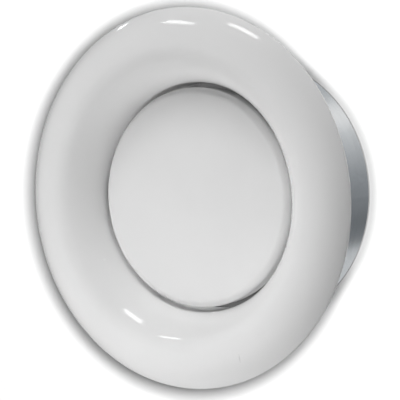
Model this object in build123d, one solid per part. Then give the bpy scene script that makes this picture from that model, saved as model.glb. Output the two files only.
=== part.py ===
from build123d import *
import os
from math import asin, cos, degrees, radians, sin, sqrt

# Extract air valve for a 100 mm round duct, in millimetres.
# The valve's axis is Y: the room lies towards -Y, the duct runs towards +Y, and Z is up.
# Y = 0 is the face of the wall. Angles about the axis start at +X and grow towards +Z.

# Driving dimensions

# Clearances
lap_gap = 0.05          # between lapped sheets, about a coat of paint
thread_gap = 0.05       # between the thread's crest and a nut's bore
rivet_gap = 0.05        # between a rivet and its hole or seat
foam_gap = 0.1          # between the foam and the ring
slot_gap = 0.4          # around a bayonet lug in its slot
tab_setback = 0.2       # from a lug's tip to the collar's outer wall
gasket_to_flange = 2.0  # from the collar's flange to the gasket
gasket_to_rim = 1.5     # from the gasket to the inside of the rim
neck_gap = 6.3          # from the neck to the inside of the collar
air_gap = 1.4           # from the disc's edge to the throat
lug_to_leg = 0.52       # along the neck, from a lug to the bridge's leg

# Bell-mouth ring, drawn from sheet
ring_sheet = 1.0
rim_standoff = 0.5      # from the wall to the rim's edge
rim_return = 0.5        # straight edge behind the rolled rim
rim_roll = 0.2          # inner radius of the rolled rim
shoulder_turn = 48.0    # degrees the shoulder turns between crest and rim
lip_width = 13.6        # from the throat to the crest, along a radius
throat_depth = 12.0     # from the wall to the narrowest part
lip_turn = 42.0         # degrees of the tighter part of the lip
neck_length = 8.0

# Valve disc, drawn from sheet
disc_sheet = 1.0
disc_front = 5.0        # from the wall to the disc's face
disc_edge = 2.6         # radius of the rounded edge
disc_skirt = 4.5
disc_hem = 2.0
hem_roll = 0.4

# Mounting collar, galvanised sheet
collar_sheet = 0.8
spigot_radius = 49.5
collar_length = 45.8
flange_width = 7.5
flange_roll = 0.5
screw_hole_count = 3
screw_hole_radius = 2.1

# Foam gasket
gasket_width = 7.0

# Bayonet lugs
lug_count = 3
lug_sheet = 1.2
lug_width = 9.0
lug_lap = 7.8           # from the lug's front face to the end of the neck
lug_bend = 0.8
twist_angle = 20.0      # degrees from locked to free

# Bridge across the neck
bridge_sheet = 1.5
bridge_width = 19.4
bridge_behind_neck = 4.0
bridge_lap = 8.0        # length of a leg on the neck
bridge_bend = 1.0
bridge_lip = 3.0        # height of the turned-up edges
bridge_hole_gap = 0.4

# Spindle, nuts and washer
thread_radius = 3.0
nut_flats = 10.0
bridge_nut_height = 5.0
lock_nut_height = 3.2
nut_chamfer = 0.5
washer_radius = 6.0
washer_sheet = 1.6
stud_head_radius = 9.0
stud_head_height = 1.5
spindle_chamfer = 0.7
open_travel = 10.0      # how far the disc screws out
lock_travel = 3.0       # how far the lock nut backs off
spindle_spare = 1.7     # thread left over behind the lock nut at both limits

# Rivets
rivet_radius = 1.6
rivet_head_radius = 3.0
rivet_head_height = 1.0
rivet_tail_height = 0.6  # inside the neck, clear of the disc

# Sizes that follow from the above
turn_90 = 90.0
full_turn = 360.0

# From the duct outwards and inwards: collar, neck, throat, disc, crest, flange, gasket, rim
collar_inside = spigot_radius - collar_sheet
neck_outside = collar_inside - neck_gap
throat_radius = neck_outside - ring_sheet
disc_radius = throat_radius - air_gap
crest_radius = throat_radius + lip_width
flange_radius = spigot_radius + flange_width
screw_circle = spigot_radius + flange_width / 2
gasket_inside = flange_radius + gasket_to_flange
gasket_outside = gasket_inside + gasket_width
rim_radius = gasket_outside + gasket_to_rim + ring_sheet

rim_outer_roll = rim_roll + ring_sheet
shoulder_sine = sin(radians(shoulder_turn))
shoulder_cosine = cos(radians(shoulder_turn))
roll_run = rim_outer_roll * (1 - shoulder_sine)
shoulder_bend = (rim_radius - roll_run - crest_radius) / shoulder_sine
roll_rise = rim_return + rim_outer_roll * shoulder_cosine
crest_y = -rim_standoff - roll_rise - shoulder_bend * (1 - shoulder_cosine)

# The lip is two tangent arcs that together run from the crest to the throat
lip_fall = throat_depth - crest_y
lip_sine = sin(radians(lip_turn))
lip_cosine = cos(radians(lip_turn))
lip_share = lip_sine * lip_cosine - (1 - lip_sine) * (1 - lip_cosine)
lip_front_bend = (lip_width * lip_cosine - lip_fall * (1 - lip_sine)) / lip_share
lip_rear_bend = (lip_fall * lip_sine - lip_width * (1 - lip_cosine)) / lip_share

neck_rear = throat_depth + neck_length

gasket_bend = shoulder_bend - ring_sheet - foam_gap
shoulder_centre_y = crest_y + shoulder_bend

lug_inside = neck_outside + lap_gap
lug_outside = lug_inside + lug_sheet
lug_tip = spigot_radius - tab_setback
lug_depth = neck_rear - lug_lap
lug_half_angle = degrees(lug_width / 2 / collar_inside)
slot_side_angle = degrees(slot_gap / collar_inside)
lug_outer_bend = lug_bend + lug_sheet
lug_rivet_y = (lug_depth + lug_outer_bend + neck_rear) / 2

leg_inside = neck_outside + lap_gap
leg_outside = leg_inside + bridge_sheet
web_front = neck_rear + bridge_behind_neck
web_rear = web_front + bridge_sheet
bridge_rivet_y = neck_rear - bridge_lap / 2
bridge_rivet_spread = degrees(asin(bridge_width / 4 / leg_inside))
leg_half_angle = degrees(asin(bridge_width / 2 / leg_inside))
lug_foot_half_angle = degrees(asin(lug_width / 2 / lug_inside))
lug_angle = 180 + leg_half_angle + lug_foot_half_angle + degrees(lug_to_leg / neck_outside)
screw_hole_angle = lug_angle + (twist_angle + full_turn / lug_count) / 2

disc_back = disc_front + disc_sheet
hem_outer_roll = hem_roll + disc_sheet
lock_nut_front = web_rear + washer_sheet
spindle_rear = lock_nut_front + lock_nut_height + lock_travel + open_travel + spindle_spare
nut_bore = thread_radius + thread_gap
rivet_hole = rivet_radius + rivet_gap


def polar(angle):
    """Unit vector at an angle in the drawing plane."""
    return Vector(cos(radians(angle)), sin(radians(angle)))


def sheet_profile(start, heading, moves, thickness):
    """Section of a bent sheet: straight runs (length, 0) and bends (radius, turn).

    The path follows one side of the sheet. The other side lies to the left of the path,
    or to its right where the thickness is negative.
    """
    point = Vector(*start)
    edges = []

    def beside(place, angle):
        return place + polar(angle + 90) * thickness

    edges.append(Line(point, beside(point, heading)))
    for size, turn in moves:
        if turn == 0:
            end = point + polar(heading) * size
            edges.append(Line(point, end))
            edges.append(Line(beside(point, heading), beside(end, heading)))
        else:
            reach = size if turn > 0 else -size
            centre = point + polar(heading + 90) * reach
            half = heading + turn / 2
            after = heading + turn
            middle = centre - polar(half + 90) * reach
            end = centre - polar(after + 90) * reach
            edges.append(ThreePointArc(point, middle, end))
            edges.append(ThreePointArc(beside(point, heading), beside(middle, half), beside(end, after)))
            heading = after
        point = end
    edges.append(Line(point, beside(point, heading)))
    return make_face(edges)


def turned(points):
    """Solid of revolution about the valve's axis from corner points (radius, y)."""
    return revolve(make_face(Polyline(*points, close=True)), Axis.Y, full_turn)


def about_axis(shape, angle):
    """A shape that lies along +X, carried about the valve's axis to an angle."""
    return Rot(0, -angle, 0) * shape


def sector(inside, outside, front, rear, first, last):
    """Part of a ring between two radii, two depths and two angles."""
    section = make_face(Polyline((inside, front), (outside, front), (outside, rear), (inside, rear), close=True))
    return about_axis(revolve(section, Axis.Y, last - first), last)


def spread(count, first):
    """Angles of equally spaced pieces about the axis."""
    return [first + full_turn * index / count for index in range(count)]


def strip(section, width):
    """A strip as wide as given, cut from a turned sheet, so that it hugs the round neck."""
    cup = revolve(section, Axis.Y, full_turn)
    reach = 4 * rim_radius
    return cup & Box(reach, reach, width)


def rivet(inner_wall, outer_wall, depth):
    """Rivet along +X through a wall between two radii, with a round head outside and a flat tail."""
    seat = sqrt(inner_wall ** 2 - rivet_head_radius ** 2) - rivet_gap
    tail = seat - rivet_tail_height
    under_head = outer_wall + rivet_gap
    top = under_head + rivet_head_height
    ball = (rivet_head_radius ** 2 + rivet_head_height ** 2) / (2 * rivet_head_height)
    half_way = asin(rivet_head_radius / ball) / 2
    dome = ThreePointArc(
        (under_head, rivet_head_radius),
        (top - ball + ball * cos(half_way), ball * sin(half_way)),
        (top, 0),
    )
    outline = Polyline(
        (top, 0),
        (tail, 0),
        (tail, rivet_head_radius),
        (seat, rivet_head_radius),
        (seat, rivet_radius),
        (under_head, rivet_radius),
        (under_head, rivet_head_radius),
    )
    return Pos(0, depth, 0) * revolve(make_face([outline, dome]), Axis.X, full_turn)


def rivet_holes(angles, depth):
    """Round holes through the neck and what is lapped on it."""
    hole = Pos(neck_outside, depth, 0) * Rot(0, 90, 0) * Cylinder(rivet_hole, neck_outside / 2)
    return [about_axis(hole, angle) for angle in angles]


def hex_nut(front, height):
    """Hexagon nut on the valve's axis with chamfered corners and a plain bore."""
    rear = front + height
    corner = nut_flats / sqrt(3)
    face = nut_flats / 2 - 0.1 * nut_chamfer
    prism = extrude(RegularPolygon(nut_flats / 2, 6, major_radius=False), height)
    body = Pos(0, front, 0) * Rot(-90, 0, 0) * prism
    bevel = nut_chamfer * (corner - face) / corner * 2
    body &= turned([
        (0, front), (face, front), (corner, front + bevel),
        (corner, rear - bevel), (face, rear), (0, rear),
    ])
    mouth = nut_bore + nut_chamfer
    return body - turned([
        (0, front - 1), (mouth, front - 1), (mouth, front), (nut_bore, front + nut_chamfer),
        (nut_bore, rear - nut_chamfer), (mouth, rear), (mouth, rear + 1), (0, rear + 1),
    ])


lug_angles = spread(lug_count, lug_angle)
leg_angles = spread(2, 0)
bridge_rivet_angles = [leg + side * bridge_rivet_spread for leg in leg_angles for side in (-1, 1)]


def bell_mouth_ring():
    """Rolled rim, shoulder, crest, lip, throat and neck in one drawn sheet."""
    section = sheet_profile(
        (rim_radius, -rim_standoff),
        -90,
        [
            (rim_return, 0),
            (rim_outer_roll, shoulder_turn - turn_90),
            (shoulder_bend, -shoulder_turn),
            (lip_front_bend, -lip_turn),
            (lip_rear_bend, lip_turn - turn_90),
            (neck_length, 0),
        ],
        -ring_sheet,
    )
    ring = revolve(section, Axis.Y, full_turn)
    ring -= rivet_holes(lug_angles, lug_rivet_y)
    ring -= rivet_holes(bridge_rivet_angles, bridge_rivet_y)
    return ring


def rim_gasket():
    """Foam ring that fills the hollow behind the rim and bears on the wall."""

    def hollow(radius):
        return (radius, shoulder_centre_y - sqrt(gasket_bend ** 2 - (radius - crest_radius) ** 2))

    front = ThreePointArc(
        hollow(gasket_outside),
        hollow((gasket_inside + gasket_outside) / 2),
        hollow(gasket_inside),
    )
    sides = Polyline(hollow(gasket_inside), (gasket_inside, 0), (gasket_outside, 0), hollow(gasket_outside))
    return revolve(make_face([front, sides]), Axis.Y, full_turn)


def valve_disc():
    """Shallow pan with a rounded edge, a short skirt and a hem."""
    section = sheet_profile(
        (0, disc_front),
        0,
        [
            (disc_radius - disc_edge, 0),
            (disc_edge, turn_90),
            (disc_skirt, 0),
            (hem_outer_roll, turn_90),
            (disc_hem, 0),
        ],
        disc_sheet,
    )
    return revolve(section, Axis.Y, full_turn)


def mounting_collar():
    """Sleeve for the duct with a wall flange, screw holes and bayonet slots."""
    section = sheet_profile(
        (spigot_radius, collar_length),
        -90,
        [
            (collar_length - flange_roll, 0),
            (flange_roll, turn_90),
            (flange_width - flange_roll, 0),
        ],
        -collar_sheet,
    )
    collar = revolve(section, Axis.Y, full_turn)
    hole = Pos(screw_circle, 0, 0) * Rot(90, 0, 0) * Cylinder(screw_hole_radius, 4 * collar_sheet)
    collar -= [about_axis(hole, angle) for angle in spread(screw_hole_count, screw_hole_angle)]
    inside = collar_inside - collar_sheet
    outside = spigot_radius + flange_roll + slot_gap
    front = lug_depth - slot_gap
    rear = lug_depth + lug_sheet + slot_gap
    half = lug_half_angle + slot_side_angle
    for angle in lug_angles:
        free = angle + twist_angle
        collar -= sector(inside, outside, front, rear, angle - half, free + half)
        collar -= sector(inside, outside, -3 * collar_sheet, rear, free - half, free + half)
    return collar


def bayonet_lug(angle):
    """Bent tab: a foot lapped on the neck and a tongue that reaches into the collar's slot."""
    section = sheet_profile(
        (lug_inside, neck_rear),
        -90,
        [
            (neck_rear - lug_depth - lug_outer_bend, 0),
            (lug_outer_bend, turn_90),
            (lug_tip - lug_inside - lug_outer_bend, 0),
        ],
        lug_sheet,
    )
    lug = strip(section, lug_width) & Pos(2 * rim_radius, 0, 0) * Box(4 * rim_radius, 4 * rim_radius, lug_width)
    return about_axis(lug, angle) - rivet_holes([angle], lug_rivet_y)


def bridge():
    """Channel strip across the back of the neck with a leg on either side."""
    section = sheet_profile(
        (leg_inside, neck_rear - bridge_lap),
        90,
        [
            (bridge_lap + bridge_behind_neck - bridge_bend, 0),
            (bridge_bend, turn_90),
            (leg_inside - bridge_bend, 0),
        ],
        -bridge_sheet,
    )
    body = strip(section, bridge_width)
    half = leg_inside - 2 * bridge_bend - bridge_lip
    lip_outline = Polyline(
        (-half, web_rear),
        (half, web_rear),
        (half - bridge_lip, web_rear + bridge_lip),
        (bridge_lip - half, web_rear + bridge_lip),
        close=True,
    )
    lip = extrude(make_face(lip_outline), bridge_sheet)
    body += Pos(0, 0, bridge_width / 2 - bridge_sheet) * lip
    body += Pos(0, 0, -bridge_width / 2) * lip
    bore = thread_radius + bridge_hole_gap
    body -= turned([(0, web_front - 1), (bore, web_front - 1), (bore, web_rear + 1), (0, web_rear + 1)])
    return body - rivet_holes(bridge_rivet_angles, bridge_rivet_y)


def spindle():
    """Stud with a flat head on the disc's back and a long threaded shank."""
    head_rear = disc_back + stud_head_height
    return turned([
        (0, disc_back),
        (stud_head_radius, disc_back),
        (stud_head_radius, head_rear),
        (thread_radius, head_rear),
        (thread_radius, spindle_rear - spindle_chamfer),
        (thread_radius - spindle_chamfer, spindle_rear),
        (0, spindle_rear),
    ])


def lock_washer():
    """Plain washer between the bridge and the lock nut."""
    bore = thread_radius + bridge_hole_gap
    rear = web_rear + washer_sheet
    return turned([(bore, web_rear), (washer_radius, web_rear), (washer_radius, rear), (bore, rear)])


pieces = {
    "bell_mouth_ring": bell_mouth_ring(),
    "rim_gasket": rim_gasket(),
    "valve_disc": valve_disc(),
    "mounting_collar": mounting_collar(),
    "bridge": bridge(),
    "bridge_nut": hex_nut(web_front - bridge_nut_height, bridge_nut_height),
    "spindle": spindle(),
    "lock_washer": lock_washer(),
    "lock_nut": hex_nut(lock_nut_front, lock_nut_height),
    "bridge_rivets": Compound([
        about_axis(rivet(throat_radius, leg_outside, bridge_rivet_y), angle) for angle in bridge_rivet_angles
    ]),
    "lug_rivets": Compound([
        about_axis(rivet(throat_radius, lug_outside, lug_rivet_y), angle) for angle in lug_angles
    ]),
}
for number, angle in enumerate(lug_angles, 1):
    pieces[f"bayonet_lug_{number}"] = bayonet_lug(angle)

os.makedirs("parts", exist_ok=True)
for name, piece in pieces.items():
    export_step(piece, f"parts/{name}.step")
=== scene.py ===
"""Extract air valve: an enamelled bell-mouth ring and disc in a galvanised collar, set on a pale floor."""

import math

import bpy
import numpy as np
from bpy.props import FloatProperty, FloatVectorProperty, PointerProperty
from bpy.types import Operator, Panel, PropertyGroup
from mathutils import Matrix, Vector


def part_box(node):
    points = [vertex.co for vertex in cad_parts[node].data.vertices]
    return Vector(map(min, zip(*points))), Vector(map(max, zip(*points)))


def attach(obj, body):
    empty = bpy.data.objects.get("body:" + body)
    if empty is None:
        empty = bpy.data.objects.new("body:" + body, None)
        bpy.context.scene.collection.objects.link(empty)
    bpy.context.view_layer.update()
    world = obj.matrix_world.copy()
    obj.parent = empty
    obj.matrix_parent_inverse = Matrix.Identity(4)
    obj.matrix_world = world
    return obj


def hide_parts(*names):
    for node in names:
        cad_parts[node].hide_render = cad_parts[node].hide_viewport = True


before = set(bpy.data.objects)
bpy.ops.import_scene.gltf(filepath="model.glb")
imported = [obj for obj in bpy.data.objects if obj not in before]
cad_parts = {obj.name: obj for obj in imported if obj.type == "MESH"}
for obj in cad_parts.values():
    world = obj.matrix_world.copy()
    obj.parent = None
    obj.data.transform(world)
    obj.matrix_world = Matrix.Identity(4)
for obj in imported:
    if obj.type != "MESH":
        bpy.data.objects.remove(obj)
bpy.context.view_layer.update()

bl_info = {
    "name": "Extract air valve",
    "version": (1, 0, 0),
    "blender": (4, 5, 0),
    "location": "3D View > Sidebar > Valve",
    "description": "Dresses the valve's frame in enamel, zinc and foam, and sets it on a studio floor",
    "category": "Object",
}

full_turn = 2 * math.pi
quarter_turn = math.pi / 2

# Columns of quads round the axis
ring_columns = 512
disc_columns = 384
weld_columns = 360
spindle_columns = 64
nut_columns = 144
washer_columns = 96

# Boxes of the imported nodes, which give the pieces their main sizes
_, ring_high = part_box("bell_mouth_ring")
disc_low, disc_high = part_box("valve_disc")
_, collar_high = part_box("mounting_collar")
spindle_low, spindle_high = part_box("spindle")
washer_low, washer_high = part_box("lock_washer")


# Settings

def length(name, description, default):
    """A length in metres."""
    return FloatProperty(
        name=name, description=description, default=default, unit="LENGTH", subtype="DISTANCE", precision=5
    )


def angle(name, description, default):
    """An angle, given in degrees and kept in radians."""
    return FloatProperty(name=name, description=description, default=math.radians(default), subtype="ANGLE")


def share(name, description, default):
    """A plain number."""
    return FloatProperty(name=name, description=description, default=default, precision=4)


def colour(name, description, default):
    """A linear colour."""
    return FloatVectorProperty(
        name=name, description=description, default=default, size=3, subtype="COLOR", min=0, max=1
    )


class RingSizes(PropertyGroup):
    """Section of the drawn bell-mouth ring."""

    rim_radius: length("Rim radius", "From the axis to the outside of the rim", ring_high.x)
    neck_rear: length("Neck rear", "From the wall to the rear edge of the neck", ring_high.y)
    rim_edge: length("Rim edge", "Place of the rim's rear edge along the axis", -0.0005)
    sheet: length("Sheet", "Thickness of the sheet", 0.001)
    rim_return: length("Rim return", "Straight edge behind the rolled rim", 0.0005)
    rim_roll: length("Rim roll", "Outer radius of the rolled rim", 0.0012)
    crest_radius: length("Crest radius", "From the axis to the most forward part", 0.055)
    throat_radius: length("Throat radius", "From the axis to the narrowest part", 0.0414)
    throat_depth: length("Throat depth", "From the wall to the narrowest part", 0.012)
    shoulder_turn: angle("Shoulder turn", "Turn of the shoulder between crest and rim", 48)
    lip_turn: angle("Lip turn", "Turn of the tighter part of the lip", 42)


class DiscSizes(PropertyGroup):
    """Section of the drawn valve disc."""

    radius: length("Radius", "From the axis to the disc's edge", disc_high.x)
    front: length("Front", "Place of the disc's face along the axis", disc_low.y)
    sheet: length("Sheet", "Thickness of the sheet", 0.001)
    edge: length("Edge", "Radius of the rounded edge", 0.0026)
    skirt: length("Skirt", "Straight part behind the rounded edge", 0.0045)
    hem: length("Hem", "Flat hem at the rear, along a radius", 0.002)
    hem_roll: length("Hem roll", "Outer radius of the bend into the hem", 0.0014)
    mark_depth: length("Mark depth", "Depth of the weld's mark in the middle of the face", 0.00004)
    mark_radius: length("Mark radius", "Radius of the weld's mark", 0.002)


class HardwareSizes(PropertyGroup):
    """Spindle, nuts, washer and gasket."""

    thread_radius: length("Thread radius", "Crest radius of the spindle's thread", 0.003)
    thread_pitch: length("Thread pitch", "Rise of the thread in one turn", 0.001)
    thread_depth: length("Thread depth", "From the crest to the root of the thread", 0.00058)
    head_height: length("Head height", "Thickness of the stud's flat head", 0.0015)
    nut_flats: length("Nut flats", "Across the flats of both nuts", 0.010)
    nut_bore: length("Nut bore", "Radius of the nuts' bore", 0.00305)
    nut_chamfer: length("Nut chamfer", "Chamfer at the mouths of the bore", 0.0005)
    nut_face: share("Nut face", "Radius of the nuts' round faces, as a share of half their flats", 0.97)
    nut_cone: angle("Nut cone", "Slope of the cone that cuts the nuts' corners", 30)
    weld_leg: length("Weld leg", "Width of the weld round the stud's head", 0.0008)
    weld_height: share("Weld height", "Height of the weld, as a share of its width", 0.9)
    weld_gap: length("Weld gap", "From the weld to the head and the disc", 0.00003)
    washer_bore: length("Washer bore", "Radius of the washer's hole", 0.0034)
    edge_round: length("Edge round", "Rounding of turned and stamped edges", 0.0003)


class Finishes(PropertyGroup):
    """Colours of the finishes."""

    enamel: colour("Enamel", "White stove enamel", (0.82, 0.82, 0.82))
    zinc_sheet: colour("Zinc sheet", "Hot-dip galvanised sheet", (0.655, 0.672, 0.683))
    zinc_plate: colour("Zinc plate", "Bright zinc plating", (0.66, 0.67, 0.66))
    weld: colour("Weld", "Bare weld metal", (0.36, 0.35, 0.34))
    foam: colour("Foam", "Closed-cell sealing foam", (0.065, 0.067, 0.07))
    floor: colour("Floor", "Pale studio floor", (0.90, 0.90, 0.90))


class Studio(PropertyGroup):
    """Camera and light."""

    view_azimuth: angle("View azimuth", "Camera's turn about the upright, from the front", 34.91)
    view_elevation: angle("View elevation", "Camera's height above the horizon", 4.7)
    view_depth: length("View depth", "Place of the middle of the rolled rim along the axis", -0.00095)
    view_distance: length("View distance", "From the camera to the middle of the rim", 0.614)
    view_shift_right: length("View shift right", "From the rim's middle to the aim, to the right", 0.00575)
    view_shift_up: length("View shift up", "From the rim's middle to the aim, upwards", -0.00032)
    lens: share("Lens", "Focal length in millimetres on a 36 mm frame", 154.1)
    floor_gap: length("Floor gap", "From the collar's lowest edge to the floor", 0.001)
    floor_radius: length("Floor radius", "Reach of the floor, which fades into the white room", 0.17)
    floor_fade: share("Floor fade", "Where the fade starts, as a share of the floor's radius", 0.7)
    # Painted shade on the floor: its colour falls from left to right against the near lamp
    fall_left: length("Fall left", "Place across the floor where its paleness starts to fall", -0.13)
    fall_right: length("Fall right", "Place across the floor where its paleness stops falling", 0.06)
    fall_shade: share("Fall shade", "Paleness of the floor at the right, as a share of the left", 0.56)
    # Painted shade on the floor: dark round the collar's foot and in its mouth
    corner_reach: length("Corner reach", "Width of the soft shade where the collar meets the floor", 0.0075)
    corner_shade: share("Corner shade", "Paleness of the floor there and in the mouth, as a share", 0.22)
    mouth_radius: length("Mouth radius", "Radius of the collar's mouth on the floor", 0.0495)
    room_light: share("Room light", "Strength of the even light from all round", 0.02)
    mirror_up: share("Mirror up", "Grey that mirrors see above", 0.9)
    mirror_down: share("Mirror down", "Grey that mirrors see below", 0.9)
    mirror_left: share("Mirror left", "Grey that mirrors see at the left", 0.7)
    mirror_right: share("Mirror right", "Grey that mirrors see at the right", 0.4)
    mirror_front: share("Mirror front", "Grey that mirrors see in front", 0.15)
    mirror_beside: share("Mirror beside", "What is left of these greys beside the wall", 0.5)
    mirror_cool: share("Mirror cool", "Tint of the darker greys behind the wall", 0.08)


class ValveSettings(PropertyGroup):
    """All settings of the valve."""

    ring: PointerProperty(type=RingSizes)
    disc: PointerProperty(type=DiscSizes)
    hardware: PointerProperty(type=HardwareSizes)
    finishes: PointerProperty(type=Finishes)
    studio: PointerProperty(type=Studio)


def settings():
    """The scene's settings of the valve."""
    return bpy.context.scene.extract_valve


# Surfaces

def run(start, heading, distance, count):
    """Straight stretch: start + t * heading, with t even from 0 to the distance."""
    along = np.array([math.cos(heading), math.sin(heading)])
    return np.asarray(start) + np.linspace(0, distance, count)[:, None] * along


def bend(start, heading, radius, turn, count):
    """Arc from a start and a heading: centre + radius * (cos, sin). A positive turn goes left."""
    side = math.copysign(1, turn)
    across = heading + side * quarter_turn
    centre = np.asarray(start) + radius * np.array([math.cos(across), math.sin(across)])
    sweep = across + math.pi + np.linspace(0, turn, count)
    return centre + radius * np.stack([np.cos(sweep), np.sin(sweep)], 1)


def follow(start, heading, moves):
    """Path of runs (distance, 0, count) and bends (radius, turn, count), with the heading at each point."""
    points = []
    headings = []
    for size, turn, count in moves:
        if turn == 0:
            stretch = run(start, heading, size, count)
            facing = np.full(count, heading)
        else:
            stretch = bend(start, heading, size, turn, count)
            facing = heading + np.linspace(0, turn, count)
        skip = 1 if points else 0
        points.append(stretch[skip:])
        headings.append(facing[skip:])
        start = stretch[-1]
        heading = facing[-1]
    return np.concatenate(points), np.concatenate(headings)


def sheet_section(start, heading, moves, sheet, side, edge_count=8):
    """Closed section of a bent sheet: the path, a half-round edge, its parallel back and a half-round edge.

    The parallel lies a sheet's thickness to the path's left where the side is 1, to its right where it is -1.
    """
    path, facing = follow(start, heading, moves)
    across = facing + side * quarter_turn
    parallel = path + sheet * np.stack([np.cos(across), np.sin(across)], 1)
    far_edge = bend(path[-1], facing[-1], sheet / 2, side * math.pi, edge_count)
    near_edge = bend(parallel[0], facing[0] + math.pi, sheet / 2, side * math.pi, edge_count)
    return np.concatenate([path, far_edge[1:-1], parallel[::-1], near_edge[1:-1]])


def ring_of_quads(rows, columns, close_rows):
    """Corner numbers of a grid's quads; the columns close on themselves, and the rows too where asked."""
    last = rows if close_rows else rows - 1
    row, column = np.meshgrid(np.arange(last), np.arange(columns), indexing="ij")
    below = (row + 1) % rows
    beside = (column + 1) % columns
    corners = ((row, column), (row, beside), (below, beside), (below, column))
    return np.stack([along * columns + across for along, across in corners], -1).reshape(-1, 4)


def angles_round(columns):
    """Even angles round the axis."""
    return np.arange(columns) / columns * full_turn


def turned_grid(radius, along, columns):
    """Points (r cos a, y, r sin a) for rows of radii r and places y on the axis; both may vary with a."""
    around = angles_round(columns)
    rows = len(along)
    radius = np.broadcast_to(np.reshape(radius, (rows, -1)), (rows, columns))
    depth = np.broadcast_to(np.reshape(along, (rows, -1)), (rows, columns))
    return np.stack([radius * np.cos(around), depth, radius * np.sin(around)], -1)


def enclosed_volume(points, faces):
    """Signed volume inside closed faces: a sixth of the sum of a . (b x c) over each face's triangles."""
    total = 0.0
    for corners in faces:
        first = points[corners[:, 0]]
        for second in range(1, corners.shape[1] - 1):
            total += np.sum(first * np.cross(points[corners[:, second]], points[corners[:, second + 1]]))
    return total / 6


def new_piece(name, points, faces, material, sharp=40, closed=True):
    """Mesh object at the origin with its faces turned outwards where it is closed.

    It is smooth but for edges that turn by more than the sharp angle in degrees. The faces come as arrays of
    corner numbers.
    """
    points = points.reshape(-1, 3)
    if closed and enclosed_volume(points, faces) < 0:
        faces = [corners[:, ::-1] for corners in faces]
    mesh = bpy.data.meshes.new(name)
    mesh.from_pydata(points.tolist(), [], [face for corners in faces for face in corners.tolist()])
    mesh.validate()
    mesh.polygons.foreach_set("use_smooth", np.ones(len(mesh.polygons), bool))
    mesh.set_sharp_from_angle(angle=math.radians(sharp))
    mesh.materials.append(material)
    mesh.update()
    piece = bpy.data.objects.new(name, mesh)
    bpy.context.scene.collection.objects.link(piece)
    return piece


def turned_loop(name, section, columns, material, sharp=40):
    """Closed section carried once round the valve's axis."""
    grid = turned_grid(section[:, 0], section[:, 1], columns)
    return new_piece(name, grid, [ring_of_quads(len(section), columns, True)], material, sharp)


def turned_solid(name, radius, along, columns, material, sharp=40):
    """Profile from the axis out and back to it, carried round it, with a fan of triangles at each pole."""
    grid = turned_grid(radius[1:-1], along[1:-1], columns)
    rows = len(along) - 2
    first_pole = rows * columns
    poles = np.array([[0, along[0], 0], [0, along[-1], 0]])
    column = np.arange(columns)
    beside = (column + 1) % columns
    last_row = (rows - 1) * columns
    front_fan = np.stack([np.full(columns, first_pole), beside, column], -1)
    rear_fan = np.stack([np.full(columns, first_pole + 1), last_row + column, last_row + beside], -1)
    points = np.concatenate([grid.reshape(-1, 3), poles])
    faces = [ring_of_quads(rows, columns, False), front_fan, rear_fan]
    return new_piece(name, points, faces, material, sharp)


# Materials

class Nodes:
    """Builds up a node tree."""

    def __init__(self, tree):
        self.tree = tree

    def add(self, kind, **options):
        node = self.tree.nodes.new(kind)
        for option, value in options.items():
            setattr(node, option, value)
        return node

    def wire(self, source, target):
        """Links a socket to a target, or sets the target to a number or a colour."""
        if isinstance(source, bpy.types.NodeSocket):
            self.tree.links.new(source, target)
        elif isinstance(source, (int, float)):
            target.default_value = source
        else:
            target.default_value = (*source, 1)

    def number(self, operation, *values):
        """Sum, product or the like of values that are sockets or numbers."""
        node = self.add("ShaderNodeMath", operation=operation)
        for value, socket in zip(values, node.inputs):
            self.wire(value, socket)
        return node.outputs["Value"]

    def remap(self, value, low, high, to_low, to_high):
        """Stretch of a value from one range to another, held at its ends."""
        node = self.add("ShaderNodeMapRange")
        for socket, limit in zip(("From Min", "From Max", "To Min", "To Max"), (low, high, to_low, to_high)):
            node.inputs[socket].default_value = limit
        self.wire(value, node.inputs["Value"])
        return node.outputs["Result"]

    def blend(self, amount, first, second):
        """Mix of two colours by an amount."""
        node = self.add("ShaderNodeMix", data_type="RGBA")
        sockets = [socket for socket in node.inputs if socket.enabled]
        for value, socket in zip((amount, first, second), sockets):
            self.wire(value, socket)
        return next(socket for socket in node.outputs if socket.enabled)

    def ramp(self, value, stops, cool=0):
        """Grey that follows a value from 0 to 1 over stops (place, tone); the darker it is, the cooler."""
        node = self.add("ShaderNodeValToRGB")
        elements = node.color_ramp.elements
        while len(elements) < len(stops):
            elements.new(0.5)
        for element, (place, tone) in zip(elements, stops):
            element.position = place
            tint = cool * (1 - tone)
            element.color = (tone * (1 - tint), tone, tone * (1 + tint), 1)
        self.wire(value, node.inputs["Fac"])
        return node.outputs["Color"]

    def choose(self, amount, first, second):
        """Mix of two shaders by an amount."""
        node = self.add("ShaderNodeMixShader")
        self.wire(amount, node.inputs[0])
        self.tree.links.new(first, node.inputs[1])
        self.tree.links.new(second, node.inputs[2])
        return node.outputs["Shader"]


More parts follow.
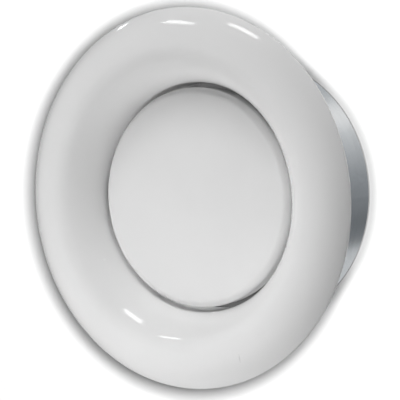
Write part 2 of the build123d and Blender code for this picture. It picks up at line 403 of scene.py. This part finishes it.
class Finish(Nodes):
    """A material that is built up from its Principled shader."""

    def __init__(self, name, base, **sockets):
        self.material = bpy.data.materials.new(name)
        self.material.use_nodes = True
        super().__init__(self.material.node_tree)
        self.shader = self.tree.nodes["Principled BSDF"]
        self.wire(base, self.shader.inputs["Base Color"])
        for socket, value in sockets.items():
            self.shader.inputs[socket.replace("_", " ").title()].default_value = value
        self.place = self.add("ShaderNodeTexCoord").outputs["Object"]

    def stretched(self, scale):
        """Object coordinates, scaled along each axis."""
        mapping = self.add("ShaderNodeMapping")
        mapping.inputs["Scale"].default_value = scale
        self.wire(self.place, mapping.inputs["Vector"])
        return mapping.outputs["Vector"]

    def noise(self, scale, detail=2.0, roughness=0.5, place=None):
        """Cloudy pattern from 0 to 1."""
        node = self.add("ShaderNodeTexNoise")
        node.inputs["Scale"].default_value = scale
        node.inputs["Detail"].default_value = detail
        node.inputs["Roughness"].default_value = roughness
        self.wire(place or self.place, node.inputs["Vector"])
        return node.outputs["Fac"]

    def cells(self, scale, output="Distance"):
        """Crystal or pore pattern."""
        node = self.add("ShaderNodeTexVoronoi")
        node.inputs["Scale"].default_value = scale
        self.wire(self.place, node.inputs["Vector"])
        return node.outputs[output]

    def spot(self, middle, radius, stretch=(1, 1, 1)):
        """1 at a point, falling to 0 at a radius; the radius is divided by the stretch along each axis."""
        offset = self.add("ShaderNodeVectorMath", operation="SUBTRACT")
        self.wire(self.place, offset.inputs[0])
        offset.inputs[1].default_value = middle
        scaled = self.add("ShaderNodeVectorMath", operation="MULTIPLY")
        self.wire(offset.outputs["Vector"], scaled.inputs[0])
        scaled.inputs[1].default_value = stretch
        reach = self.add("ShaderNodeVectorMath", operation="LENGTH")
        self.wire(scaled.outputs["Vector"], reach.inputs[0])
        return self.remap(reach.outputs["Value"], 0, radius, 1, 0)

    def colour(self, socket):
        self.wire(socket, self.shader.inputs["Base Color"])

    def roughness(self, socket):
        self.wire(socket, self.shader.inputs["Roughness"])

    def relief(self, *layers, edge=0):
        """Bumps, each a height pattern with its depth in metres, laid one on another over softened edges."""
        normal = None
        if edge:
            soft = self.add("ShaderNodeBevel", samples=4)
            soft.inputs["Radius"].default_value = edge
            normal = soft.outputs["Normal"]
        for height, depth in layers:
            bump = self.add("ShaderNodeBump")
            bump.inputs["Distance"].default_value = depth
            self.wire(height, bump.inputs["Height"])
            if normal:
                self.wire(normal, bump.inputs["Normal"])
            normal = bump.outputs["Normal"]
        self.wire(normal, self.shader.inputs["Normal"])

    def brushed(self, amount):
        """Stretches the shine across a grain round the valve's axis, a quarter of a turn from the tangent."""
        grain = self.add("ShaderNodeTangent", direction_type="RADIAL", axis="Y")
        self.wire(grain.outputs["Tangent"], self.shader.inputs["Tangent"])
        self.shader.inputs["Anisotropic"].default_value = amount
        self.shader.inputs["Anisotropic Rotation"].default_value = 0.25


def shade(base, factor):
    """A colour made lighter or darker."""
    return tuple(min(1.0, channel * factor) for channel in base)


def made_once(make):
    """The material of a finish, made the first time it is asked for.

    The frame's own plain materials carry the slots' names, so the finishes have names of their own.
    """
    def finish():
        name = make.__name__ + "_finish"
        return bpy.data.materials.get(name) or make(name)
    return finish


@made_once
def white_enamel(name):
    """Glossy stove enamel: faint orange peel, a slow waviness of the drawn sheet, a scuff and a speck."""
    base = tuple(settings().finishes.enamel)
    scuff_place, scuff_radius = (0.0276, -0.0066, -0.0542), 0.0019
    speck_place, speck_radius = (-0.0371, 0.0005, -0.0244), 0.0007
    finish = Finish(name, base)
    cloud = finish.noise(scale=35, detail=3)
    coat = finish.blend(finish.remap(cloud, 0.35, 0.65, 0, 1), shade(base, 0.985), shade(base, 1.01))
    scuff = finish.spot(scuff_place, scuff_radius, stretch=(1.5, 0.5, 1))
    line = finish.spot(scuff_place, scuff_radius, stretch=(6, 0.3, 1))
    coat = finish.blend(finish.number("MULTIPLY", line, 0.4), coat, shade(base, 0.45))
    speck = finish.spot(speck_place, speck_radius)
    finish.colour(finish.blend(finish.number("MULTIPLY", speck, 0.6), coat, shade(base, 1.12)))
    film = finish.noise(scale=90, detail=4, roughness=0.6)
    film = finish.number("ADD", film, finish.number("MULTIPLY", scuff, 0.3))
    finish.roughness(finish.remap(film, 0.3, 0.7, 0.05, 0.09))
    orange_peel = (finish.noise(scale=420), 2.2e-6)
    waviness = (finish.noise(scale=45, detail=1), 20e-6)
    finish.relief(orange_peel, waviness)
    return finish.material


def zinc_coat(name, grain):
    """Hot-dip zinc on rolled sheet: soft crystals, dull patches and fine rolling streaks along the grain."""
    base = tuple(settings().finishes.zinc_sheet)
    finish = Finish(name, base, metallic=1.0, roughness=0.32)
    crystal = finish.add("ShaderNodeSeparateColor")
    finish.wire(finish.cells(scale=170, output="Color"), crystal.inputs["Color"])
    streaks = finish.noise(scale=1, detail=4, roughness=0.65, place=finish.stretched(grain))
    patches = finish.noise(scale=28, detail=4, roughness=0.6)
    tone = finish.number("ADD", finish.number("MULTIPLY", crystal.outputs["Red"], 0.16), patches)
    tone = finish.number("ADD", tone, finish.number("MULTIPLY", streaks, 0.5))
    finish.colour(finish.blend(finish.remap(tone, 0.55, 1.15, 0, 1), shade(base, 0.86), shade(base, 1.10)))
    gloss = finish.number("ADD", finish.number("MULTIPLY", streaks, 0.5), patches)
    finish.roughness(finish.remap(gloss, 0.45, 1.05, 0.15, 0.25))
    rolling = (streaks, 10e-6)
    crystals = (crystal.outputs["Green"], 3e-6)
    waviness = (finish.noise(scale=60), 20e-6)
    finish.relief(rolling, crystals, waviness, edge=0.00025)
    return finish


@made_once
def collar_zinc(name):
    """Galvanised sheet, rolled round the valve's axis."""
    finish = zinc_coat(name, grain=(18, 1500, 18))
    finish.brushed(amount=0.8)
    return finish.material


@made_once
def strip_zinc(name):
    """Galvanised strip, rolled along its length."""
    return zinc_coat(name, grain=(25, 900, 900)).material


@made_once
def zinc_plated_steel(name):
    """Bright plating on turned steel: fine turning lines and faint clouds."""
    base = tuple(settings().finishes.zinc_plate)
    finish = Finish(name, base, metallic=1.0, roughness=0.26)
    clouds = finish.noise(scale=220, detail=4, roughness=0.6)
    finish.colour(finish.blend(finish.remap(clouds, 0.35, 0.65, 0, 1), shade(base, 0.86), shade(base, 1.08)))
    finish.roughness(finish.remap(clouds, 0.3, 0.7, 0.20, 0.36))
    turning_lines = (finish.noise(scale=1500), 6e-6)
    finish.relief(turning_lines, edge=0.00015)
    return finish.material


@made_once
def weld_metal(name):
    """Weld: dull grey steel with heat-tinted patches and small craters."""
    base = tuple(settings().finishes.weld)
    finish = Finish(name, base, metallic=1.0, roughness=0.4)
    tint = finish.noise(scale=400, detail=3)
    finish.colour(finish.blend(finish.remap(tint, 0.35, 0.65, 0, 1), shade(base, 0.7), shade(base, 1.25)))
    finish.roughness(finish.remap(tint, 0.3, 0.7, 0.32, 0.55))
    craters = (finish.cells(scale=1800), 30e-6)
    crust = (finish.noise(scale=900, detail=3), 40e-6)
    finish.relief(craters, crust)
    return finish.material


@made_once
def seal_foam(name):
    """Closed-cell foam: cut cells of two sizes and a dull, uneven skin."""
    base = tuple(settings().finishes.foam)
    finish = Finish(name, base, roughness=0.85)
    pores = finish.cells(scale=1100)
    mottle = finish.noise(scale=140, detail=4)
    finish.colour(finish.blend(finish.remap(mottle, 0.3, 0.7, 0, 1), shade(base, 0.75), shade(base, 1.35)))
    finish.roughness(finish.remap(pores, 0.1, 0.6, 0.75, 0.95))
    small_cells = (pores, 250e-6)
    large_cells = (finish.cells(scale=480), 250e-6)
    finish.relief(small_cells, large_cells, edge=0.0005)
    return finish.material


def dress(node, material):
    """Gives a node of the frame its finish."""
    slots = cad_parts[node].data.materials
    slots.clear()
    slots.append(material)


# Pieces

def ring_section(ring):
    """Section of the ring from the rim's edge inwards: rolled rim, shoulder arc, two lip arcs, straight neck.

    The two lip arcs are tangent where the lip has turned by its tighter part. The wider one ends at the
    throat, along the axis.
    """
    sine, cosine = math.sin(ring.shoulder_turn), math.cos(ring.shoulder_turn)
    shoulder = (ring.rim_radius - ring.rim_roll * (1 - sine) - ring.crest_radius) / sine
    crest = ring.rim_edge - ring.rim_return - ring.rim_roll * cosine - shoulder * (1 - cosine)
    width = ring.crest_radius - ring.throat_radius
    fall = ring.throat_depth - crest
    sine, cosine = math.sin(ring.lip_turn), math.cos(ring.lip_turn)
    divisor = sine * cosine - (1 - sine) * (1 - cosine)
    tight = (width * cosine - fall * (1 - sine)) / divisor
    wide = (fall * sine - width * (1 - cosine)) / divisor
    half_edge = ring.sheet / 2
    return sheet_section(
        (ring.rim_radius, ring.rim_edge - half_edge),
        -quarter_turn,
        [
            (ring.rim_roll, ring.shoulder_turn - quarter_turn, 10),
            (shoulder, -ring.shoulder_turn, 24),
            (tight, -ring.lip_turn, 20),
            (wide, ring.lip_turn - quarter_turn, 22),
            (ring.neck_rear - ring.throat_depth - half_edge, 0, 6),
        ],
        ring.sheet,
        -1,
    )


class VALVE_OT_ring(Operator):
    """Makes the enamelled bell-mouth ring"""

    bl_idname = "extract_valve.ring"
    bl_label = "Bell-mouth ring"

    def execute(self, context):
        piece = turned_loop("enamelled_ring", ring_section(settings().ring), ring_columns, white_enamel())
        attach(piece, "valve_body")
        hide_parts("bell_mouth_ring")
        return {"FINISHED"}


def disc_profile(disc):
    """Closed profile of the pan from the middle of its face round its edge and hem to the middle of its back.

    The weld's mark sinks the face by depth * (1 - (r / radius) ** 2) ** 2.
    """
    hem = disc.hem - disc.sheet / 2
    section = sheet_section(
        (0, disc.front),
        0,
        [
            (disc.mark_radius, 0, 14),
            (disc.radius - disc.edge - disc.mark_radius, 0, 30),
            (disc.edge, quarter_turn, 26),
            (disc.skirt, 0, 4),
            (disc.hem_roll, quarter_turn, 10),
            (hem, 0, 4),
        ],
        disc.sheet,
        1,
    )
    off_axis = 1e-9
    section = section[section[:, 0] > off_axis]
    middle_front = [[0, disc.front]]
    middle_back = [[0, disc.front + disc.sheet]]
    profile = np.concatenate([middle_front, section, middle_back])
    on_face = profile[:, 1] < disc.front + disc.sheet / 2
    near = np.clip(1 - (profile[:, 0] / disc.mark_radius) ** 2, 0, 1) ** 2
    profile[:, 1] += disc.mark_depth * near * on_face
    return profile


class VALVE_OT_disc(Operator):
    """Makes the enamelled valve disc"""

    bl_idname = "extract_valve.disc"
    bl_label = "Valve disc"

    def execute(self, context):
        profile = disc_profile(settings().disc)
        piece = turned_solid("enamelled_disc", profile[:, 0], profile[:, 1], disc_columns, white_enamel())
        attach(piece, "valve_disc")
        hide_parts("valve_disc")
        return {"FINISHED"}


# Waves that swell the weld: share of its width, count round the axis and phase
weld_waves = ((0.10, 44, 0), (0.06, 7, 1), (0.05, 3, 0))


def weld_grid(sizes):
    """Bead in the corner of head and disc: a quarter of an ellipse that swells in waves round the axis.

    At the angle a its width is leg * (1 + the sum of share * sin(count * a + phase)).
    """
    around = angles_round(weld_columns)
    swell = 1
    for part, count, phase in weld_waves:
        swell = swell + part * np.sin(count * around + phase)
    width = sizes.weld_leg * swell
    sweep = np.linspace(0, quarter_turn, 9)[:, None]
    corner = np.zeros((1, weld_columns))
    height = width * sizes.weld_height
    radius = spindle_high.x + sizes.weld_gap + np.concatenate([corner, width * np.cos(sweep)])
    depth = spindle_low.y + sizes.weld_gap + np.concatenate([corner, height * np.sin(sweep)])
    return turned_grid(radius, depth, weld_columns)


class VALVE_OT_weld(Operator):
    """Makes the weld round the stud's head on the back of the disc"""

    bl_idname = "extract_valve.weld"
    bl_label = "Weld"

    def execute(self, context):
        grid = weld_grid(settings().hardware)
        faces = ring_of_quads(len(grid), weld_columns, True)
        piece = new_piece("stud_weld", grid, [faces], weld_metal(), sharp=60)
        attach(piece, "valve_disc")
        return {"FINISHED"}


class VALVE_OT_sheet_metal(Operator):
    """Finishes the collar, the bridge and the bayonet lugs in galvanised sheet"""

    bl_idname = "extract_valve.sheet_metal"
    bl_label = "Collar, bridge and lugs"

    def execute(self, context):
        dress("mounting_collar", collar_zinc())
        for node in ("bridge", "bayonet_lug_1", "bayonet_lug_2", "bayonet_lug_3"):
            dress(node, strip_zinc())
        return {"FINISHED"}


class VALVE_OT_rivets(Operator):
    """Finishes the rivets in zinc-plated steel"""

    bl_idname = "extract_valve.rivets"
    bl_label = "Rivets"

    def execute(self, context):
        for node in ("bridge_rivets", "lug_rivets"):
            dress(node, zinc_plated_steel())
        return {"FINISHED"}


def thread_height(depth, around, pitch):
    """Height of a right-hand screw thread from 0 at the root to 1 at the crest.

    The phase is depth / pitch + angle / turn; flanks run straight between a narrow crest and a wider root.
    """
    root_share, flank_share = 0.25, 0.625
    phase = depth / pitch + around / full_turn
    ridge = np.abs(2 * (phase - np.floor(phase)) - 1)
    return np.clip((ridge - root_share) / flank_share, 0, 1)


def spindle_profile(sizes):
    """Radii and places along the axis of the flat head and the threaded shank, from pole to pole.

    The shank's radius is root + depth * height of the thread. The thread grows from plain over its first two
    turns behind the head, and a cone of 45 degrees cuts it at the tip, a little below its root.
    """
    shank_rows = 480
    plain_turns = 2
    tip_cut = 1.2
    head_radius = spindle_high.x
    front, rear = spindle_low.y, spindle_high.y
    head_rear = front + sizes.head_height
    round_edge = sizes.edge_round
    head, _ = follow(
        (0, front),
        0,
        [
            (head_radius - round_edge, 0, 8),
            (round_edge, quarter_turn, 6),
            (sizes.head_height - 2 * round_edge, 0, 4),
            (round_edge, quarter_turn, 6),
            (head_radius - round_edge - sizes.thread_radius, 0, 8),
        ],
    )
    shank = np.linspace(head_rear, rear, shank_rows)[:, None]
    growth = np.clip((shank - head_rear) / (plain_turns * sizes.thread_pitch), 0, 1)
    height = thread_height(shank, angles_round(spindle_columns), sizes.thread_pitch) * growth + (1 - growth)
    thread = sizes.thread_radius - sizes.thread_depth + sizes.thread_depth * height
    tip_radius = sizes.thread_radius - tip_cut * sizes.thread_depth
    thread = np.minimum(thread, tip_radius + (rear - shank))
    head_rings = np.repeat(head[:, :1], spindle_columns, axis=1)
    radius = np.concatenate([head_rings, thread[1:], np.zeros((1, spindle_columns))])
    along = np.concatenate([head[:, 1], shank[1:, 0], [rear]])
    return radius, along


class VALVE_OT_spindle(Operator):
    """Makes the threaded spindle with its flat head"""

    bl_idname = "extract_valve.spindle"
    bl_label = "Spindle"

    def execute(self, context):
        radius, along = spindle_profile(settings().hardware)
        finish = zinc_plated_steel()
        piece = turned_solid("threaded_spindle", radius, along, spindle_columns, finish, sharp=50)
        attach(piece, "spindle")
        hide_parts("spindle")
        return {"FINISHED"}


def rows_between(stations, steps):
    """Rows of values that go evenly from each station to the next."""
    part = np.linspace(0, 1, steps, endpoint=False)[:, None]
    rows = [first + part * (second - first) for first, second in zip(stations, stations[1:])]
    return np.concatenate([*rows, stations[-1:]])


def hexagon_nut(name, node, sizes):
    """Hexagon nut whose wall stands at flats / 2 / cos(a - nearest flat) at the angle a.

    A cone cuts its corners at each end. The section runs from the bore's front mouth over the front face, the
    wall and the rear face to the bore.
    """
    low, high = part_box(node)
    corners_on_x = high.x > high.z
    sixth = full_turn / 6
    first_flat = 0 if corners_on_x else sixth / 2
    from_flat = (angles_round(nut_columns) + first_flat) % sixth - sixth / 2
    half_flats = sizes.nut_flats / 2
    wall = half_flats / np.cos(from_flat)
    face = np.full(nut_columns, half_flats * sizes.nut_face)
    drop = np.maximum(wall - face, 0) * math.tan(sizes.nut_cone)
    chamfer = sizes.nut_chamfer
    bore = np.full(nut_columns, sizes.nut_bore)
    mouth = bore + chamfer
    front, rear = np.full(nut_columns, low.y), np.full(nut_columns, high.y)
    radius = rows_between([bore, mouth, face, wall, wall, face, mouth, bore], 4)
    depth = rows_between(
        [front + chamfer, front, front, front + drop, rear - drop, rear, rear, rear - chamfer], 4
    )
    faces = ring_of_quads(len(radius), nut_columns, True)
    return new_piece(name, turned_grid(radius, depth, nut_columns), [faces], zinc_plated_steel(), sharp=25)


class VALVE_OT_nuts(Operator):
    """Makes the nut on the bridge and the lock nut behind it"""

    bl_idname = "extract_valve.nuts"
    bl_label = "Nuts"

    def execute(self, context):
        for name, node, body in (
            ("welded_nut", "bridge_nut", "valve_body"),
            ("thin_lock_nut", "lock_nut", "lock_nut"),
        ):
            piece = hexagon_nut(name, node, settings().hardware)
            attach(piece, body)
            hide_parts(node)
        return {"FINISHED"}


def rounded_bar(inside, outside, front, rear, edge):
    """Section of a flat ring with rounded edges: four runs joined by quarter arcs."""
    width = outside - inside - 2 * edge
    height = rear - front - 2 * edge
    half_way = [(width, 0, 6), (edge, quarter_turn, 6), (height, 0, 4), (edge, quarter_turn, 6)]
    path, _ = follow((inside + edge, front), 0, half_way * 2)
    return path[:-1]


class VALVE_OT_washer(Operator):
    """Makes the washer under the lock nut"""

    bl_idname = "extract_valve.washer"
    bl_label = "Washer"

    def execute(self, context):
        sizes = settings().hardware
        section = rounded_bar(sizes.washer_bore, washer_high.x, washer_low.y, washer_high.y, sizes.edge_round)
        piece = turned_loop("flat_washer", section, washer_columns, zinc_plated_steel())
        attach(piece, "lock_washer")
        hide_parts("lock_washer")
        return {"FINISHED"}


class VALVE_OT_gasket(Operator):
    """Finishes the foam gasket behind the rim"""

    bl_idname = "extract_valve.gasket"
    bl_label = "Gasket"

    def execute(self, context):
        dress("rim_gasket", seal_foam())
        return {"FINISHED"}


# Studio

def direction(azimuth, elevation):
    """Direction from the valve towards an azimuth from the front and an elevation."""
    level = math.cos(elevation)
    return Vector((math.sin(azimuth) * level, -math.cos(azimuth) * level, math.sin(elevation)))


def place_camera(studio):
    """Camera on the photograph's line of sight through the rim's middle, aimed a little beside it."""
    back = direction(studio.view_azimuth, studio.view_elevation)
    right = Vector((math.cos(studio.view_azimuth), math.sin(studio.view_azimuth), 0))
    up = back.cross(right)
    middle = Vector((0, studio.view_depth, 0))
    aim = middle + right * studio.view_shift_right + up * studio.view_shift_up
    lens = bpy.data.cameras.new("camera")
    lens.lens = studio.lens
    lens.sensor_width = 36
    lens.clip_start = 0.01
    lens.clip_end = 20
    camera = bpy.data.objects.new("camera", lens)
    camera.location = middle + back * studio.view_distance
    camera.rotation_mode = "QUATERNION"
    camera.rotation_quaternion = (aim - camera.location).to_track_quat("-Z", "Y")
    bpy.context.scene.collection.objects.link(camera)
    bpy.context.scene.camera = camera


def floor_finish(studio):
    """Pale floor whose paleness falls from left to right, against the near lamp that lights it.

    Its colour carries painted shade: dark in the collar's mouth, in place of the duct's dark inside, and
    in the corner round it, where an occlusion node darkens it. It fades out at its radius. It isn't
    there for a camera under it, for mirrors outside the mouth and for lamps that shine into the mouth.
    """
    base = tuple(settings().finishes.floor)
    finish = Finish("studio_floor", base, roughness=0.9)
    finish.shader.inputs["Specular IOR Level"].default_value = 0
    from_axis = finish.add("ShaderNodeVectorMath", operation="LENGTH")
    finish.wire(finish.stretched((1, 0, 1)), from_axis.inputs[0])
    reach = from_axis.outputs["Value"]
    outside = finish.number("GREATER_THAN", reach, studio.mouth_radius)
    inside = finish.number("SUBTRACT", 1, outside)
    # Painted shade: an occlusion node darkens the floor's colour in the corner round the collar
    corner = finish.add("ShaderNodeAmbientOcclusion", samples=8)
    corner.inputs["Distance"].default_value = studio.corner_reach
    corner_dark, corner_open = 0.5, 0.88
    away = finish.remap(corner.outputs["AO"], corner_dark, corner_open, 0, 1)
    open_floor = finish.number("MULTIPLY", away, outside)
    across = finish.add("ShaderNodeSeparateXYZ")
    finish.wire(finish.place, across.inputs["Vector"])
    # Painted shade: the floor's colour is darker towards the right, where the near lamp lights it more
    fall = finish.remap(across.outputs["X"], studio.fall_left, studio.fall_right, 0, 1)
    pale = finish.blend(fall, base, shade(base, studio.fall_shade))
    # The colour takes the painted shade in the mouth and the corner, and the pale floor elsewhere
    finish.colour(finish.blend(open_floor, shade(base, studio.corner_shade), pale))
    rays = finish.add("ShaderNodeLightPath").outputs
    backfacing = finish.add("ShaderNodeNewGeometry").outputs["Backfacing"]
    through = rays["Transparent Depth"]
    for reason in (
        finish.number("MULTIPLY", rays["Is Camera Ray"], backfacing),
        finish.number("MULTIPLY", rays["Is Glossy Ray"], outside),
        finish.number("MULTIPLY", rays["Is Shadow Ray"], inside),
        finish.remap(reach, studio.floor_radius * studio.floor_fade, studio.floor_radius, 0, 1),
    ):
        through = finish.number("MAXIMUM", through, reason)
    clear = finish.add("ShaderNodeBsdfTransparent").outputs["BSDF"]
    surface = finish.choose(finish.number("MINIMUM", through, 1), finish.shader.outputs["BSDF"], clear)
    finish.wire(surface, finish.tree.nodes["Material Output"].inputs["Surface"])
    return finish.material


def pale_floor(studio):
    """Square floor behind the collar, with its front towards the room."""
    middle = Vector((0, collar_high.y + studio.floor_gap, 0))
    corners = [
        middle + Vector((x, 0, z)) * studio.floor_radius for x, z in ((-1, -1), (1, -1), (1, 1), (-1, 1))
    ]
    face = np.array([[0, 1, 2, 3]])
    floor = new_piece("pale_floor", np.array(corners), [face], floor_finish(studio), closed=False)
    return floor


# Greys that a mirror sees behind the wall, by the angle about the valve's axis in degrees
rear_greys = (
    (-180, 1.0), (-95, 0.68), (-66, 0.80), (-57, 0.74), (-52, 0.23), (-30, 0.21), (10, 0.40), (54, 0.80),
    (60, 1.06), (80, 1.08), (88, 0.55), (112, 0.6), (180, 1.0),
)


def white_room(studio):
    """Even light from all round, plain white for the camera, and greys for mirrors.

    In front of the wall a mirror's grey is the sum of five greys, each times the square of the direction's
    part towards its side, and it dims beside the wall. Behind it the grey follows the angle atan2(z, x) of
    the direction (x, y, z), and it comes in as y rises.
    """
    world = bpy.data.worlds.new("white_room")
    world.use_nodes = True
    room = Nodes(world.node_tree)
    parts = room.add("ShaderNodeSeparateXYZ")
    room.wire(room.add("ShaderNodeTexCoord").outputs["Generated"], parts.inputs["Vector"])
    x, y, z = parts.outputs
    front = 0
    for part, sign, grey in (
        (z, 1, studio.mirror_up),
        (z, -1, studio.mirror_down),
        (x, -1, studio.mirror_left),
        (x, 1, studio.mirror_right),
        (y, -1, studio.mirror_front),
    ):
        towards = room.number("MAXIMUM", room.number("MULTIPLY", part, sign), 0)
        front = room.number("MULTIPLY_ADD", room.number("MULTIPLY", towards, towards), grey, front)
    turn = room.number("ADD", room.number("DIVIDE", room.number("ARCTAN2", z, x), full_turn), 0.5)
    stops = [(degrees / 360 + 0.5, tone) for degrees, tone in rear_greys]
    rear = room.ramp(turn, stops, studio.mirror_cool)
    beside_start, beside_end = -0.1, 0.2
    behind_start, behind_end = 0.5, 0.7
    beside = room.remap(y, beside_start, beside_end, 1, studio.mirror_beside)
    behind = room.remap(y, behind_start, behind_end, 0, 1)
    mirrored = room.blend(behind, room.number("MULTIPLY", front, beside), rear)
    rays = room.add("ShaderNodeLightPath").outputs
    light = room.tree.nodes["Background"]
    room.wire((1, 1, 1), light.inputs["Color"])
    room.wire(studio.room_light, light.inputs["Strength"])
    greys = room.add("ShaderNodeBackground")
    room.wire(mirrored, greys.inputs["Color"])
    white = room.add("ShaderNodeBackground")
    room.wire((1, 1, 1), white.inputs["Color"])
    seen = room.number("MAXIMUM", rays["Is Camera Ray"], rays["Is Transmission Ray"])
    either = room.choose(rays["Is Glossy Ray"], light.outputs["Background"], greys.outputs["Background"])
    surface = room.choose(seen, either, white.outputs["Background"])
    room.wire(surface, room.tree.nodes["World Output"].inputs["Surface"])
    bpy.context.scene.world = world


def soft_box(name, azimuth, elevation, distance, width, height, level, mirrored=False):
    """Area lamp towards an azimuth from the front and an elevation, in degrees, aimed at the valve.

    The level is the brightness that it gives a white card facing it.
    """
    towards = direction(math.radians(azimuth), math.radians(elevation))
    lamp = bpy.data.lights.new(name, "AREA")
    lamp.shape = "RECTANGLE"
    lamp.size = width
    lamp.size_y = height
    lamp.energy = level * math.pi ** 2 * distance ** 2
    holder = bpy.data.objects.new(name, lamp)
    holder.location = towards * distance
    holder.rotation_mode = "QUATERNION"
    holder.rotation_quaternion = towards.to_track_quat("Z", "Y")
    holder.visible_glossy = mirrored
    bpy.context.scene.collection.objects.link(holder)
    return holder


def keep_light(holder, piece, state):
    """Keeps a lamp to one object (INCLUDE) or off it (EXCLUDE)."""
    group = bpy.data.collections.new(holder.name + "_reach")
    group.objects.link(piece)
    group.collection_objects[0].light_linking.link_state = state
    holder.light_linking.receiver_collection = group


# Lamps that light the valve and not the floor: name, azimuth, elevation, distance, width, height and level,
# and whether mirrors see them. Those that they see make the highlights, and the others the shading.
valve_lamps = (
    ("key", -50, 45, 1.2, 0.26, 0.11, 0.045, True),
    ("top", -16, 66, 1.2, 0.28, 0.15, 0.07, True),
    ("side", -101, 35, 1.2, 0.12, 0.06, 0.013, True),
    ("upper", -20, 57, 1.5, 0.6, 0.6, 0.46),
    ("right", 60, 40, 1.5, 0.6, 0.6, 0.28),
    ("left", -60, -45, 1.5, 0.6, 0.6, 0.21),
    ("lower_left", -20, -43, 0.36, 0.16, 0.16, 0.48),
    ("lower_right", 20, -43, 0.36, 0.16, 0.16, 0.14),
    ("rear_upper", -160, 30, 1.2, 0.8, 0.8, 1.1),
    ("rear_lower", 150, -10, 1.2, 0.8, 0.8, 0.4),
)

# Lamps that light the floor alone, with their azimuth and elevation from the photograph's line of sight.
# The near one casts the thin shade round the valve, and the large one softens its shadow.
floor_lamps = (
    ("edge", 1.1, 0.6, 0.45, 0.055, 0.055, 2.45),
    ("fill", 0, 0, 1.2, 1.8, 1.8, 0.6),
)


class VALVE_OT_studio(Operator):
    """Sets up the floor, the lamps, the room and the camera"""

    bl_idname = "extract_valve.studio"
    bl_label = "Studio"

    def execute(self, context):
        studio = settings().studio
        context.scene.view_settings.view_transform = "Standard"
        place_camera(studio)
        floor = pale_floor(studio)
        white_room(studio)
        for lamp in valve_lamps:
            keep_light(soft_box(*lamp), floor, "EXCLUDE")
        azimuth, elevation = math.degrees(studio.view_azimuth), math.degrees(studio.view_elevation)
        for name, right, up, *rest in floor_lamps:
            keep_light(soft_box(name, azimuth + right, elevation + up, *rest), floor, "INCLUDE")
        return {"FINISHED"}


class VALVE_PT_panel(Panel):
    """Lists the valve's pieces and its stage"""

    bl_idname = "VALVE_PT_panel"
    bl_label = "Extract air valve"
    bl_space_type = "VIEW_3D"
    bl_region_type = "UI"
    bl_category = "Valve"

    def draw(self, context):
        for operator in operators:
            self.layout.operator(operator.bl_idname)


operators = (
    VALVE_OT_ring,
    VALVE_OT_disc,
    VALVE_OT_weld,
    VALVE_OT_sheet_metal,
    VALVE_OT_rivets,
    VALVE_OT_spindle,
    VALVE_OT_nuts,
    VALVE_OT_washer,
    VALVE_OT_gasket,
    VALVE_OT_studio,
)
groups = (RingSizes, DiscSizes, HardwareSizes, Finishes, Studio, ValveSettings)


def register():
    for cls in (*groups, *operators, VALVE_PT_panel):
        bpy.utils.register_class(cls)
    bpy.types.Scene.extract_valve = PointerProperty(type=ValveSettings)


def unregister():
    del bpy.types.Scene.extract_valve
    for cls in reversed((*groups, *operators, VALVE_PT_panel)):
        bpy.utils.unregister_class(cls)


def main():
    register()
    for operator in operators:
        group, name = operator.bl_idname.split(".")
        getattr(getattr(bpy.ops, group), name)()


if __name__ == "__main__":
    main()
